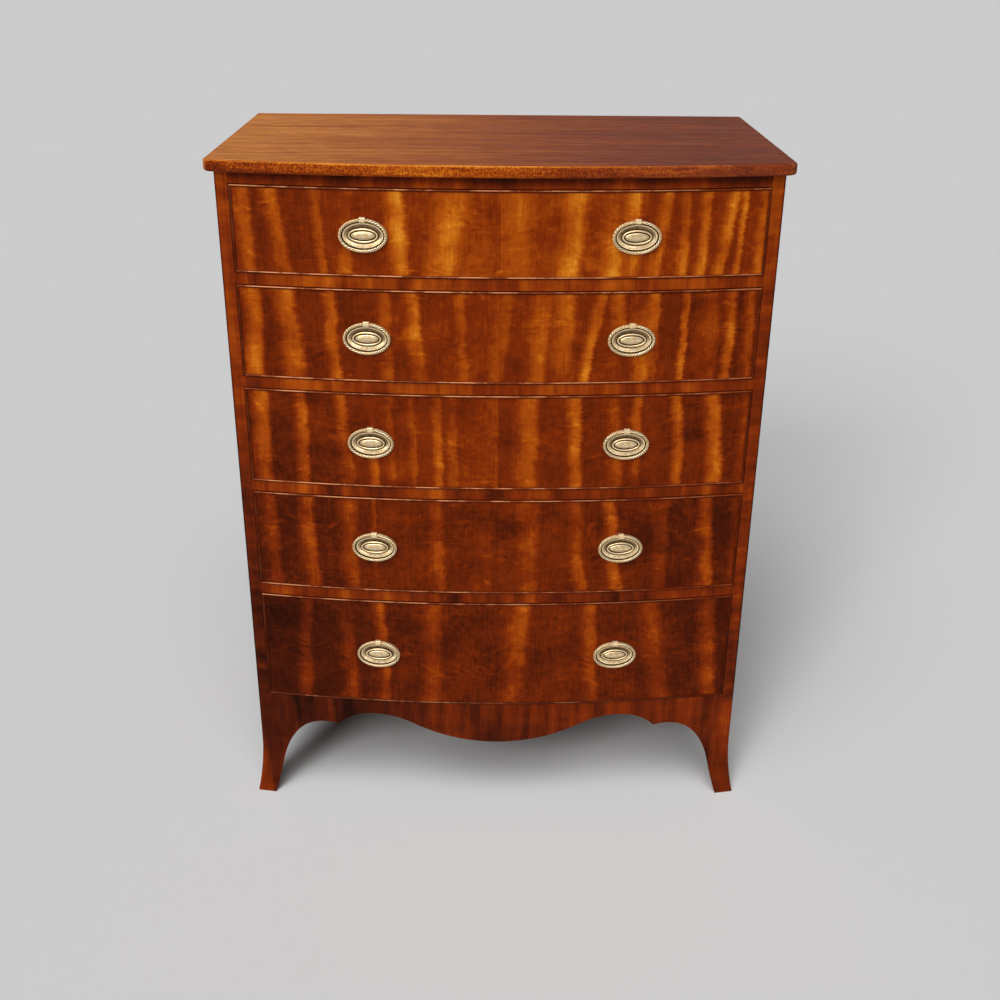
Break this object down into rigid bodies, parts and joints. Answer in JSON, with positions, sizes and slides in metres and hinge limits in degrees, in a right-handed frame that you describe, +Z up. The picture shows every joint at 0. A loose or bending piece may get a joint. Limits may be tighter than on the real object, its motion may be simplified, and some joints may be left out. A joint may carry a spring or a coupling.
{
  "type": "chest of drawers",
  "caption": "Tall bow-front chest with graduated beaded drawers that slide out, oval ring handles that lift, an overhanging top, a shaped apron and splayed bracket feet.",
  "frame": {"origin": "on the floor, under the middle of the chest's overall box", "axes": "+Z up, +Y to the back, so that the drawers open along -Y, and +X to the right as seen from the front"},
  "size_m": [0.894, 0.536, 1.158],
  "materials": {
    "mahogany": "satin lacquer",
    "flame_veneer": "satin lacquer",
    "pine": "raw",
    "drawer_oak": "raw",
    "handle_brass": "aged satin",
    "screw_steel": "plain"
  },
  "bodies": {
    "carcass": {"top_board": "mahogany", "left_side": "mahogany", "right_side": "mahogany", "back_boards": "pine", "top_rails": "mahogany", "drawer_dividers": "mahogany", "drawer_runners": "pine", "dust_boards": "pine", "carcass_bottom": "pine", "aprons": "mahogany", "front_feet": "mahogany", "rear_feet": "mahogany", "glue_blocks": "pine", "drawer_stops": "pine", "top_screws": "screw_steel"},
    "drawer_1": {"drawer_1_front": "flame_veneer", "drawer_1_beading": "mahogany", "drawer_1_sides": "drawer_oak", "drawer_1_back": "drawer_oak", "drawer_1_bottom": "drawer_oak", "drawer_1_handle_plates": "handle_brass", "drawer_1_handle_posts": "handle_brass"},
    "drawer_1_left_ring": {"drawer_1_left_ring": "handle_brass"},
    "drawer_1_right_ring": {"drawer_1_right_ring": "handle_brass"},
    "drawer_2": {"drawer_2_front": "flame_veneer", "drawer_2_beading": "mahogany", "drawer_2_sides": "drawer_oak", "drawer_2_back": "drawer_oak", "drawer_2_bottom": "drawer_oak", "drawer_2_handle_plates": "handle_brass", "drawer_2_handle_posts": "handle_brass"},
    "drawer_2_left_ring": {"drawer_2_left_ring": "handle_brass"},
    "drawer_2_right_ring": {"drawer_2_right_ring": "handle_brass"},
    "drawer_3": {"drawer_3_front": "flame_veneer", "drawer_3_beading": "mahogany", "drawer_3_sides": "drawer_oak", "drawer_3_back": "drawer_oak", "drawer_3_bottom": "drawer_oak", "drawer_3_handle_plates": "handle_brass", "drawer_3_handle_posts": "handle_brass"},
    "drawer_3_left_ring": {"drawer_3_left_ring": "handle_brass"},
    "drawer_3_right_ring": {"drawer_3_right_ring": "handle_brass"},
    "drawer_4": {"drawer_4_front": "flame_veneer", "drawer_4_beading": "mahogany", "drawer_4_sides": "drawer_oak", "drawer_4_back": "drawer_oak", "drawer_4_bottom": "drawer_oak", "drawer_4_handle_plates": "handle_brass", "drawer_4_handle_posts": "handle_brass"},
    "drawer_4_left_ring": {"drawer_4_left_ring": "handle_brass"},
    "drawer_4_right_ring": {"drawer_4_right_ring": "handle_brass"},
    "drawer_5": {"drawer_5_front": "flame_veneer", "drawer_5_beading": "mahogany", "drawer_5_sides": "drawer_oak", "drawer_5_back": "drawer_oak", "drawer_5_bottom": "drawer_oak", "drawer_5_handle_plates": "handle_brass", "drawer_5_handle_posts": "handle_brass"},
    "drawer_5_left_ring": {"drawer_5_left_ring": "handle_brass"},
    "drawer_5_right_ring": {"drawer_5_right_ring": "handle_brass"}
  },
  "joints": [
    {"name": "drawer_1_slide", "type": "slide", "parent": "carcass", "child": "drawer_1", "axis": [0, -1, 0], "range_m": [0, 0.34]},
    {"name": "drawer_1_left_ring_hinge", "type": "hinge", "parent": "drawer_1", "child": "drawer_1_left_ring", "pos_m": [-0.20784, -0.24832, 1.0735], "axis": [-0.9965, 0.0839, 0], "range_deg": [0, 90]},
    {"name": "drawer_1_right_ring_hinge", "type": "hinge", "parent": "drawer_1", "child": "drawer_1_right_ring", "pos_m": [0.20784, -0.24832, 1.0735], "axis": [-0.9965, -0.0839, 0], "range_deg": [0, 90]},
    {"name": "drawer_2_slide", "type": "slide", "parent": "carcass", "child": "drawer_2", "axis": [0, -1, 0], "range_m": [0, 0.34]},
    {"name": "drawer_2_left_ring_hinge", "type": "hinge", "parent": "drawer_2", "child": "drawer_2_left_ring", "pos_m": [-0.20784, -0.24832, 0.9115], "axis": [-0.9965, 0.0839, 0], "range_deg": [0, 90]},
    {"name": "drawer_2_right_ring_hinge", "type": "hinge", "parent": "drawer_2", "child": "drawer_2_right_ring", "pos_m": [0.20784, -0.24832, 0.9115], "axis": [-0.9965, -0.0839, 0], "range_deg": [0, 90]},
    {"name": "drawer_3_slide", "type": "slide", "parent": "carcass", "child": "drawer_3", "axis": [0, -1, 0], "range_m": [0, 0.34]},
    {"name": "drawer_3_left_ring_hinge", "type": "hinge", "parent": "drawer_3", "child": "drawer_3_left_ring", "pos_m": [-0.20784, -0.24832, 0.735], "axis": [-0.9965, 0.0839, 0], "range_deg": [0, 90]},
    {"name": "drawer_3_right_ring_hinge", "type": "hinge", "parent": "drawer_3", "child": "drawer_3_right_ring", "pos_m": [0.20784, -0.24832, 0.735], "axis": [-0.9965, -0.0839, 0], "range_deg": [0, 90]},
    {"name": "drawer_4_slide", "type": "slide", "parent": "carcass", "child": "drawer_4", "axis": [0, -1, 0], "range_m": [0, 0.34]},
    {"name": "drawer_4_left_ring_hinge", "type": "hinge", "parent": "drawer_4", "child": "drawer_4_left_ring", "pos_m": [-0.20784, -0.24832, 0.5455], "axis": [-0.9965, 0.0839, 0], "range_deg": [0, 90]},
    {"name": "drawer_4_right_ring_hinge", "type": "hinge", "parent": "drawer_4", "child": "drawer_4_right_ring", "pos_m": [0.20784, -0.24832, 0.5455], "axis": [-0.9965, -0.0839, 0], "range_deg": [0, 90]},
    {"name": "drawer_5_slide", "type": "slide", "parent": "carcass", "child": "drawer_5", "axis": [0, -1, 0], "range_m": [0, 0.34]},
    {"name": "drawer_5_left_ring_hinge", "type": "hinge", "parent": "drawer_5", "child": "drawer_5_left_ring", "pos_m": [-0.20784, -0.24832, 0.335], "axis": [-0.9965, 0.0839, 0], "range_deg": [0, 90]},
    {"name": "drawer_5_right_ring_hinge", "type": "hinge", "parent": "drawer_5", "child": "drawer_5_right_ring", "pos_m": [0.20784, -0.24832, 0.335], "axis": [-0.9965, -0.0839, 0], "range_deg": [0, 90]}
  ]
}
